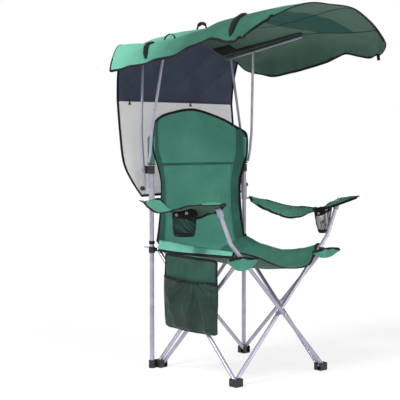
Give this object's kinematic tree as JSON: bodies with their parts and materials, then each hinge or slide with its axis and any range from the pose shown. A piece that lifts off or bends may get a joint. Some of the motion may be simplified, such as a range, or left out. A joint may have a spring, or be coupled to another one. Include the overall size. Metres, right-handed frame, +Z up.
{
  "type": "folding canopy chair",
  "caption": "Folding camping chair of crossed tubes with a cloth sling seat, armrests with cup holders and a tilting cloth canopy with a rear sun shade.",
  "frame": {"origin": "centre of the bounding box at floor level, on the plane of the feet's undersides", "axes": "+Z up, -Y the way the sitter faces, +X the sitter's left"},
  "size_m": [0.7764, 0.9258, 1.3306],
  "materials": {
    "painted_steel": "semi-gloss pale silver paint",
    "zinc_steel": "zinc plated",
    "black_plastic": "moulded, slightly grained",
    "green_cloth": "coated plain-weave polyester",
    "black_mesh": "knitted net",
    "slate_cloth": "plain-weave polyester",
    "pale_mesh": "knitted net with small holes",
    "black_webbing": "woven webbing"
  },
  "bodies": {
    "right_post": {"rear_foot_right": "black_plastic", "rear_post_right": "painted_steel", "arm_bracket_right": "black_plastic", "canopy_bracket_right": "black_plastic", "canopy_bolt_right": "zinc_steel", "back_pocket_right": "green_cloth", "backrest": "green_cloth"},
    "right_side_low": {"side_tube_right_low": "painted_steel", "crossing_rivet_right": "zinc_steel"},
    "right_side_high": {"side_tube_right_high": "painted_steel"},
    "right_front_foot": {"front_foot_right": "black_plastic"},
    "front_left_arm": {"arm_tube_left": "painted_steel", "arm_end_cap_left": "black_plastic", "crossing_rivet_front": "zinc_steel"},
    "front_right_arm": {"arm_tube_right": "painted_steel", "arm_end_cap_right": "black_plastic"},
    "left_front_foot": {"front_foot_left": "black_plastic"},
    "right_slider": {"slider_right": "black_plastic", "side_bag": "green_cloth"},
    "right_lever": {"slider_lever_right": "zinc_steel"},
    "right_hub": {"front_hub_right": "black_plastic", "seat_flap_right": "green_cloth"},
    "rear_low": {"rear_tube_low": "painted_steel", "crossing_rivet_rear": "zinc_steel"},
    "rear_high": {"rear_tube_high": "painted_steel"},
    "left_post": {"rear_foot_left": "black_plastic", "rear_post_left": "painted_steel", "arm_bracket_left": "black_plastic", "canopy_bracket_left": "black_plastic", "canopy_bolt_left": "zinc_steel", "back_pocket_left": "green_cloth"},
    "left_side_low": {"side_tube_left_low": "painted_steel", "crossing_rivet_left": "zinc_steel"},
    "left_side_high": {"side_tube_left_high": "painted_steel"},
    "left_slider": {"slider_left": "black_plastic"},
    "left_lever": {"slider_lever_left": "zinc_steel"},
    "left_hub": {"front_hub_left": "black_plastic", "seat_flap_left": "green_cloth"},
    "rear_seat": {"seat_rear": "green_cloth"},
    "front_seat": {"seat_front": "green_cloth"},
    "right_armrest": {"armrest_right": "green_cloth", "cup_holder_right": "black_mesh"},
    "left_armrest": {"armrest_left": "green_cloth", "cup_holder_left": "black_mesh"},
    "right_canopy": {"rear_strut_right": "painted_steel", "front_strut_right": "painted_steel", "canopy_rail_right": "painted_steel", "canopy_sheet": "green_cloth", "shade_panel": "slate_cloth", "shade_mesh": "pale_mesh", "shoulder_strap_rear": "black_webbing", "shoulder_strap_front": "black_webbing", "canopy_handle": "black_webbing"},
    "left_canopy": {"rear_strut_left": "painted_steel", "front_strut_left": "painted_steel", "canopy_rail_left": "painted_steel"},
    "right_knob": {"canopy_knob_right": "black_plastic"},
    "left_knob": {"canopy_knob_left": "black_plastic"}
  },
  "joints": [
    {"name": "fold", "type": "hinge", "parent": "right_post", "child": "right_side_low", "pos_m": [-0.2037, 0.31084, 0.018], "axis": [-1, 0, 0], "range_deg": [0, 31], "deforming": ["backrest", "shade_panel", "shade_mesh", "canopy_sheet", "canopy_handle", "shoulder_strap_rear", "shoulder_strap_front", "seat_rear", "seat_front", "seat_flap_right", "seat_flap_left", "side_bag", "armrest_right", "armrest_left", "cup_holder_right", "cup_holder_left"]},
    {"name": "right_side_crossing", "type": "hinge", "parent": "right_side_low", "child": "right_side_high", "pos_m": [-0.217, 0.09384, 0.24], "axis": [1, 0, 0], "range_deg": [0, 62]},
    {"name": "right_front_foot_inner", "type": "hinge", "parent": "right_side_high", "child": "right_front_foot", "pos_m": [-0.2303, -0.12316, 0.018], "axis": [-1, 0, 0], "range_deg": [0, 31]},
    {"name": "right_front_foot_outer", "type": "hinge", "parent": "right_front_foot", "child": "front_left_arm", "pos_m": [-0.217, -0.10986, 0.018], "axis": [0, -1, 0], "range_deg": [0, 31]},
    {"name": "front_crossing", "type": "hinge", "parent": "front_left_arm", "child": "front_right_arm", "pos_m": [0, -0.12316, 0.24], "axis": [0, 1, 0], "range_deg": [0, 62]},
    {"name": "left_front_foot_pin", "type": "hinge", "parent": "front_right_arm", "child": "left_front_foot", "pos_m": [0.217, -0.13646, 0.018], "axis": [0, -1, 0], "range_deg": [0, 31]},
    {"name": "right_slider_pin", "type": "hinge", "parent": "right_side_high", "child": "right_slider", "pos_m": [-0.2303, 0.31084, 0.462], "axis": [-1, 0, 0], "range_deg": [0, 31]},
    {"name": "right_hub_pin", "type": "hinge", "parent": "right_side_low", "child": "right_hub", "pos_m": [-0.2037, -0.12316, 0.462], "axis": [1, 0, 0], "range_deg": [0, 31]},
    {"name": "rear_right_foot_pin", "type": "hinge", "parent": "right_post", "child": "rear_low", "pos_m": [-0.217, 0.32414, 0.018], "axis": [0, -1, 0], "range_deg": [0, 31]},
    {"name": "rear_crossing", "type": "hinge", "parent": "rear_low", "child": "rear_high", "pos_m": [0, 0.31084, 0.24], "axis": [0, 1, 0], "range_deg": [0, 62]},
    {"name": "rear_left_foot_pin", "type": "hinge", "parent": "rear_high", "child": "left_post", "pos_m": [0.217, 0.29754, 0.018], "axis": [0, -1, 0], "range_deg": [0, 31]},
    {"name": "left_side_foot_pin", "type": "hinge", "parent": "left_post", "child": "left_side_low", "pos_m": [0.2303, 0.31084, 0.018], "axis": [-1, 0, 0], "range_deg": [0, 31]},
    {"name": "left_side_crossing", "type": "hinge", "parent": "left_side_low", "child": "left_side_high", "pos_m": [0.217, 0.09384, 0.24], "axis": [1, 0, 0], "range_deg": [0, 62]},
    {"name": "left_slider_pin", "type": "hinge", "parent": "left_side_high", "child": "left_slider", "pos_m": [0.2037, 0.31084, 0.462], "axis": [-1, 0, 0], "range_deg": [0, 31]},
    {"name": "left_hub_pin", "type": "hinge", "parent": "left_side_low", "child": "left_hub", "pos_m": [0.2303, -0.12316, 0.462], "axis": [1, 0, 0], "range_deg": [0, 31]},
    {"name": "rear_seat_fold", "type": "hinge", "parent": "right_slider", "child": "rear_seat", "pos_m": [-0.2435, 0.31084, 0.462], "axis": [1, 0, 0], "range_deg": [0, 70.7]},
    {"name": "front_seat_fold", "type": "hinge", "parent": "right_hub", "child": "front_seat", "pos_m": [-0.2435, -0.12316, 0.462], "axis": [-1, 0, 0], "range_deg": [0, 70.7]},
    {"name": "right_armrest_fold", "type": "hinge", "parent": "right_post", "child": "right_armrest", "pos_m": [-0.2755, 0.32984, 0.645], "axis": [-0.9238, 0.098, 0.3702], "range_deg": [0, 50.6]},
    {"name": "left_armrest_fold", "type": "hinge", "parent": "left_post", "child": "left_armrest", "pos_m": [0.2755, 0.32984, 0.645], "axis": [-0.9264, -0.1044, -0.3618], "range_deg": [0, 55.4]},
    {"name": "canopy_tilt", "type": "hinge", "parent": "right_post", "child": "right_canopy", "pos_m": [-0.264, 0.35584, 0.765], "axis": [1, 0, 0], "range_deg": [-12, 15]},
    {"name": "left_canopy_tilt", "type": "hinge", "parent": "left_post", "child": "left_canopy", "pos_m": [0.264, 0.35584, 0.765], "axis": [1, 0, 0], "range_deg": [-12, 15]},
    {"name": "right_knob_turn", "type": "hinge", "parent": "right_canopy", "child": "right_knob", "pos_m": [-0.264, 0.34932, 0.6938], "axis": [-1, 0, 0], "continuous": true},
    {"name": "left_knob_turn", "type": "hinge", "parent": "left_canopy", "child": "left_knob", "pos_m": [0.264, 0.34932, 0.6938], "axis": [1, 0, 0], "continuous": true},
    {"name": "right_lever_lift", "type": "hinge", "parent": "right_slider", "child": "right_lever", "pos_m": [-0.2455, 0.34514, 0.465], "axis": [1, 0, 0], "range_deg": [0, 40]},
    {"name": "left_lever_lift", "type": "hinge", "parent": "left_slider", "child": "left_lever", "pos_m": [0.2455, 0.34514, 0.465], "axis": [1, 0, 0], "range_deg": [0, 40]}
  ],
  "couplings": [
    {"joint": "right_side_crossing", "follows": "fold", "ratio": 2},
    {"joint": "right_front_foot_inner", "follows": "fold", "ratio": 1},
    {"joint": "right_front_foot_outer", "follows": "fold", "ratio": 1},
    {"joint": "front_crossing", "follows": "fold", "ratio": 2},
    {"joint": "left_front_foot_pin", "follows": "fold", "ratio": 1},
    {"joint": "right_slider_pin", "follows": "fold", "ratio": 1},
    {"joint": "right_hub_pin", "follows": "fold", "ratio": 1},
    {"joint": "rear_right_foot_pin", "follows": "fold", "ratio": 1},
    {"joint": "rear_crossing", "follows": "fold", "ratio": 2},
    {"joint": "rear_left_foot_pin", "follows": "fold", "ratio": 1},
    {"joint": "left_side_foot_pin", "follows": "fold", "ratio": 1},
    {"joint": "left_side_crossing", "follows": "fold", "ratio": 2},
    {"joint": "left_slider_pin", "follows": "fold", "ratio": 1},
    {"joint": "left_hub_pin", "follows": "fold", "ratio": 1},
    {"joint": "rear_seat_fold", "follows": "fold", "ratio": 2.28},
    {"joint": "front_seat_fold", "follows": "fold", "ratio": 2.28},
    {"joint": "right_armrest_fold", "follows": "fold", "ratio": 1.631},
    {"joint": "left_armrest_fold", "follows": "fold", "ratio": 1.784},
    {"joint": "left_canopy_tilt", "follows": "canopy_tilt", "ratio": 1}
  ]
}
